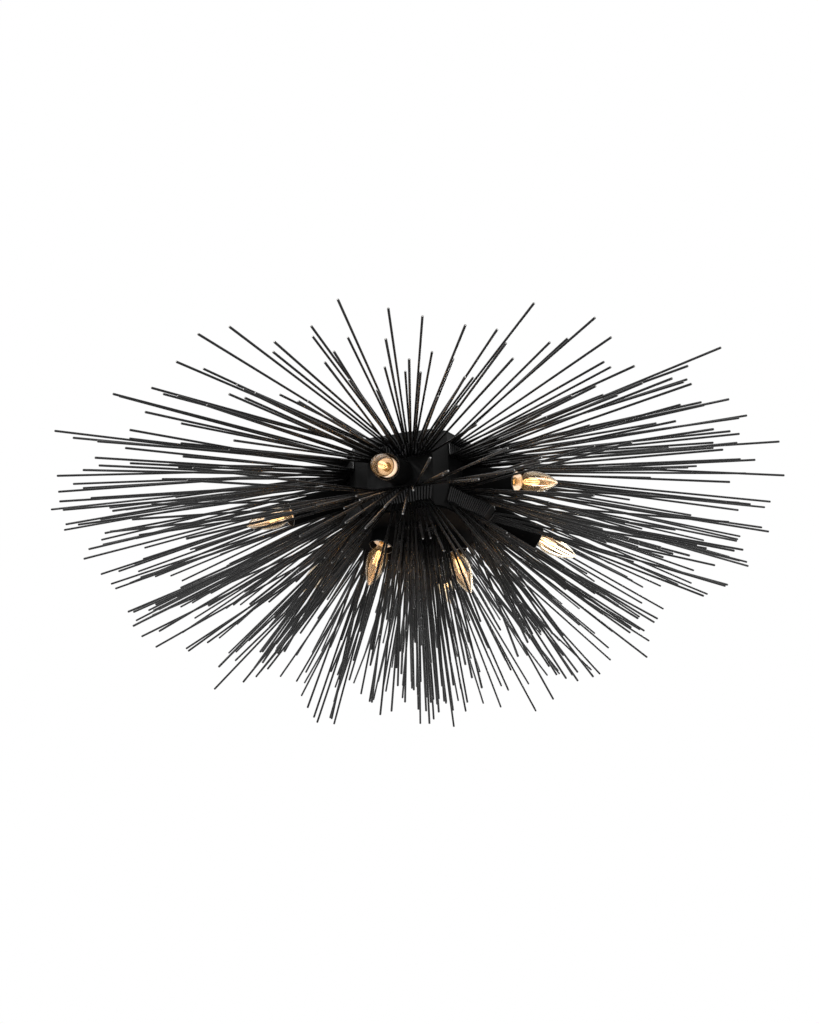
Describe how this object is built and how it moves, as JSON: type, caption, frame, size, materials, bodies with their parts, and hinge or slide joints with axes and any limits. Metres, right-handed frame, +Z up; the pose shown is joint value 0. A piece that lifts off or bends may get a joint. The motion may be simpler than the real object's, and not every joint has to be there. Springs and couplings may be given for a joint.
{
  "type": "flush mount ceiling light",
  "caption": "Starburst flush-mount ceiling light: iron wires bent like hairpins fan out from a faceted hub around candle lamps in deep sleeves, under a round canopy on a strap.",
  "frame": {"origin": "centre of the ceiling-box slots, on the ceiling plane", "axes": "+Z up into the ceiling; -Y towards the first upper lamp; the light hangs below the origin"},
  "size_m": [1.0831, 1.0818, 0.4181],
  "materials": {
    "rod_iron": "satin black iron",
    "hub_iron": "satin black",
    "sleeve_iron": "matt black outside",
    "canopy_iron": "matt black",
    "zinc": "zinc plated",
    "porcelain": "glazed white",
    "brass": "bright",
    "glass": "clear",
    "wire": "matt sleeve"
  },
  "bodies": {
    "fixture": {"canopy": "canopy_iron", "canopy_screws": "hub_iron", "ceiling_strap": "zinc", "ground_screw": "zinc", "hub_floor": "hub_iron", "hub_lower_band": "hub_iron", "hub_nipple": "zinc", "hub_top_plate": "hub_iron", "hub_upper_band": "hub_iron", "hub_waist": "hub_iron", "junction_block": "porcelain", "lamp_leads": "wire", "lower_lamp_1_holder": "porcelain", "lower_lamp_1_sleeve": "sleeve_iron", "lower_lamp_2_holder": "porcelain", "lower_lamp_2_sleeve": "sleeve_iron", "lower_rods_1": "rod_iron", "lower_rods_2": "rod_iron", "lower_rods_3": "rod_iron", "lower_rods_4": "rod_iron", "lower_rods_5": "rod_iron", "lower_rods_6": "rod_iron", "nipple_nuts": "zinc", "supply_lead": "wire", "upper_lamp_1_holder": "porcelain", "upper_lamp_1_sleeve": "sleeve_iron", "upper_lamp_2_holder": "porcelain", "upper_lamp_2_sleeve": "sleeve_iron", "upper_lamp_3_holder": "porcelain", "upper_lamp_3_sleeve": "sleeve_iron", "upper_lamp_4_holder": "porcelain", "upper_lamp_4_sleeve": "sleeve_iron", "upper_lamp_5_holder": "porcelain", "upper_lamp_5_sleeve": "sleeve_iron", "upper_lamp_6_holder": "porcelain", "upper_lamp_6_sleeve": "sleeve_iron", "upper_rods_1": "rod_iron", "upper_rods_2": "rod_iron", "upper_rods_3": "rod_iron", "upper_rods_4": "rod_iron", "upper_rods_5": "rod_iron", "upper_rods_6": "rod_iron", "wire_connector": "wire"},
    "upper_lamp_1": {"upper_lamp_1_base": "brass", "upper_lamp_1_glass": "glass"},
    "upper_lamp_2": {"upper_lamp_2_base": "brass", "upper_lamp_2_glass": "glass"},
    "upper_lamp_3": {"upper_lamp_3_base": "brass", "upper_lamp_3_glass": "glass"},
    "upper_lamp_4": {"upper_lamp_4_base": "brass", "upper_lamp_4_glass": "glass"},
    "upper_lamp_5": {"upper_lamp_5_base": "brass", "upper_lamp_5_glass": "glass"},
    "upper_lamp_6": {"upper_lamp_6_base": "brass", "upper_lamp_6_glass": "glass"},
    "lower_lamp_1": {"lower_lamp_1_base": "brass", "lower_lamp_1_glass": "glass"},
    "lower_lamp_2": {"lower_lamp_2_base": "brass", "lower_lamp_2_glass": "glass"}
  },
  "joints": [
    {"name": "upper_lamp_1_unscrew", "type": "hinge", "parent": "fixture", "child": "upper_lamp_1", "pos_m": [0, -0.20048, -0.12854], "axis": [0, -0.9239, -0.3827], "range_deg": [0, 1080]},
    {"name": "upper_lamp_2_unscrew", "type": "hinge", "parent": "fixture", "child": "upper_lamp_2", "pos_m": [0.17362, -0.10024, -0.12854], "axis": [0.8001, -0.4619, -0.3827], "range_deg": [0, 1080]},
    {"name": "upper_lamp_3_unscrew", "type": "hinge", "parent": "fixture", "child": "upper_lamp_3", "pos_m": [0.17362, 0.10024, -0.12854], "axis": [0.8001, 0.4619, -0.3827], "range_deg": [0, 1080]},
    {"name": "upper_lamp_4_unscrew", "type": "hinge", "parent": "fixture", "child": "upper_lamp_4", "pos_m": [0, 0.20048, -0.12854], "axis": [0, 0.9239, -0.3827], "range_deg": [0, 1080]},
    {"name": "upper_lamp_5_unscrew", "type": "hinge", "parent": "fixture", "child": "upper_lamp_5", "pos_m": [-0.17362, 0.10024, -0.12854], "axis": [-0.8001, 0.4619, -0.3827], "range_deg": [0, 1080]},
    {"name": "upper_lamp_6_unscrew", "type": "hinge", "parent": "fixture", "child": "upper_lamp_6", "pos_m": [-0.17362, -0.10024, -0.12854], "axis": [-0.8001, -0.4619, -0.3827], "range_deg": [0, 1080]},
    {"name": "lower_lamp_1_unscrew", "type": "hinge", "parent": "fixture", "child": "lower_lamp_1", "pos_m": [0.0511, 0.0295, -0.169], "axis": [0.2676, 0.1545, -0.9511], "range_deg": [0, 1080]},
    {"name": "lower_lamp_2_unscrew", "type": "hinge", "parent": "fixture", "child": "lower_lamp_2", "pos_m": [-0.0511, -0.0295, -0.169], "axis": [-0.2676, -0.1545, -0.9511], "range_deg": [0, 1080]}
  ]
}
